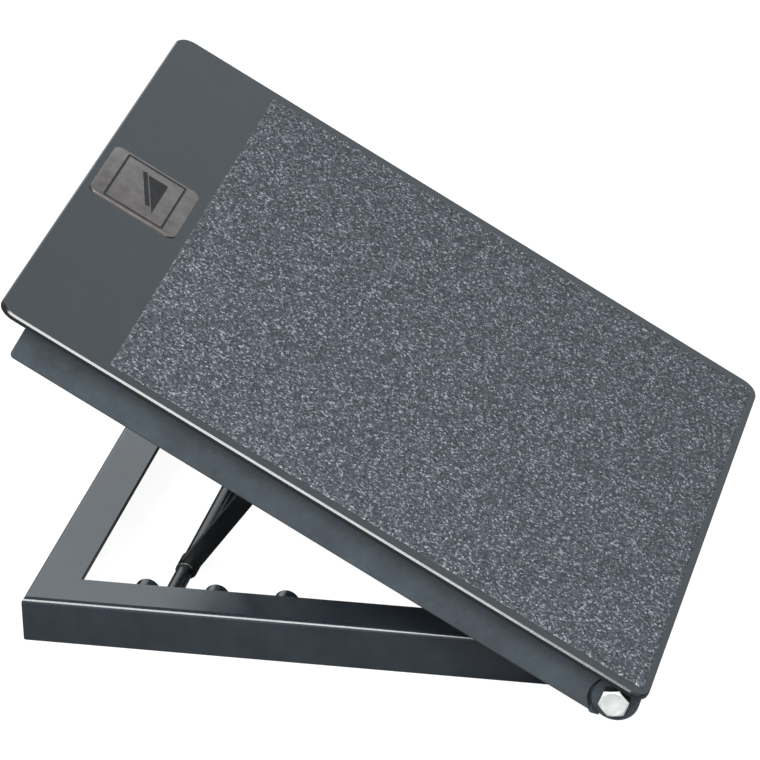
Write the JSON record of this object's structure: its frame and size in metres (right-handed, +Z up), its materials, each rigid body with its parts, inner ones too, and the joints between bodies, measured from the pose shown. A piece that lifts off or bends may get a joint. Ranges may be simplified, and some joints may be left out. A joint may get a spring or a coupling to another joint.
{
  "type": "slant board",
  "caption": "Sloping grit-topped foot deck on a folding steel angle frame, with a swing-down prop that leans on stop pegs to set the slope for calf and ankle stretching.",
  "frame": {"origin": "on the floor, at the middle of the board's bounding box in the stored pose", "axes": "+Z up; -X towards the high end of the deck and +X towards the hinge bolts; +Y along the hinge bolts, -Y being the near side in the picture"},
  "size_m": [0.34, 0.3556, 0.2162],
  "materials": {
    "black_paint": "satin black powder coat",
    "grit": "coarse abrasive grit in resin",
    "nameplate": "satin",
    "zinc": "bright zinc plate",
    "bare_steel": "oiled"
  },
  "bodies": {
    "base_frame": {"base_rail_near": "black_paint", "base_rail_far": "black_paint", "base_rail_end": "black_paint", "base_rail_low": "black_paint", "stop_pegs_near": "black_paint", "stop_pegs_far": "black_paint", "hinge_bolt_near": "zinc", "hinge_bolt_far": "zinc", "hinge_washer_outer_near": "black_paint", "hinge_washer_outer_far": "black_paint", "hinge_spacer_near": "black_paint", "hinge_spacer_far": "black_paint", "hinge_washer_inner_near": "zinc", "hinge_washer_inner_far": "zinc", "hinge_nut_near": "zinc", "hinge_nut_far": "zinc"},
    "deck_frame": {"deck_plate": "black_paint", "grip_sheet": "grit", "nameplate": "nameplate", "upper_rail_near": "black_paint", "upper_rail_far": "black_paint", "upper_rail_end": "black_paint", "hinge_knuckle_near": "black_paint", "hinge_knuckle_far": "black_paint", "prop_lug_near": "black_paint", "prop_lug_far": "black_paint", "prop_pivot_rod": "bare_steel", "prop_retaining_rings": "zinc"},
    "prop": {"prop_arm_near": "black_paint", "prop_arm_far": "black_paint", "prop_pivot_tube": "black_paint", "prop_foot_rod": "black_paint"}
  },
  "joints": [
    {"name": "deck_tilt", "type": "hinge", "parent": "base_frame", "child": "deck_frame", "pos_m": [0.15157, 0, 0.0131], "axis": [0, 1, 0], "range_deg": [-30.9, 59.1]},
    {"name": "prop_swing", "type": "hinge", "parent": "deck_frame", "child": "prop", "pos_m": [-0.01919, 0, 0.11529], "axis": [0, 1, 0], "range_deg": [-96, 0]}
  ]
}
